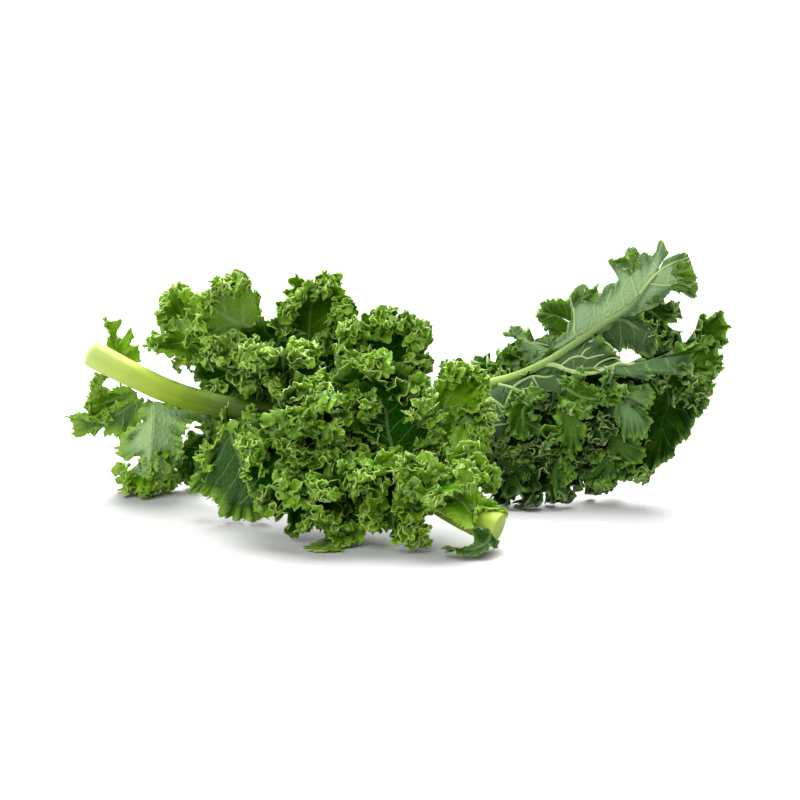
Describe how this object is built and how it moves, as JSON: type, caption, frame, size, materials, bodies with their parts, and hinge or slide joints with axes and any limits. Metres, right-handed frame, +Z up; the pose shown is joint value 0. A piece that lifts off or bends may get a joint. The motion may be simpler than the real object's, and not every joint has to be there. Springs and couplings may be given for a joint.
{
  "type": "kale bunch",
  "caption": "Loose bunch of cut curly kale leaves lying down, with thick pale stems, branching midribs and ruffled green blades that rest on their lowest lobes.",
  "frame": {"origin": "on the table surface, under the middle of the bunch's bounding box", "axes": "+X along the bunch, from the cut end of the left leaf towards the tip of the right leaf; -Y towards the front, where the front leaf's cut end points; +Z up"},
  "size_m": [0.3386, 0.1542, 0.1272],
  "materials": {
    "stem": "smooth, moist, slightly glossy pale green",
    "blade": "waxy, satin, with pale veins and yellow-green frilled rims",
    "blade_underside": "matt grey-green underside with raised pale veins"
  },
  "bodies": {
    "root": {"left_leaf_stem": "stem", "left_leaf_blade": "blade", "front_leaf_stem": "stem", "front_leaf_blade": "blade", "right_leaf_stem": "stem", "right_leaf_blade": "blade_underside"}
  },
  "joints": []
}
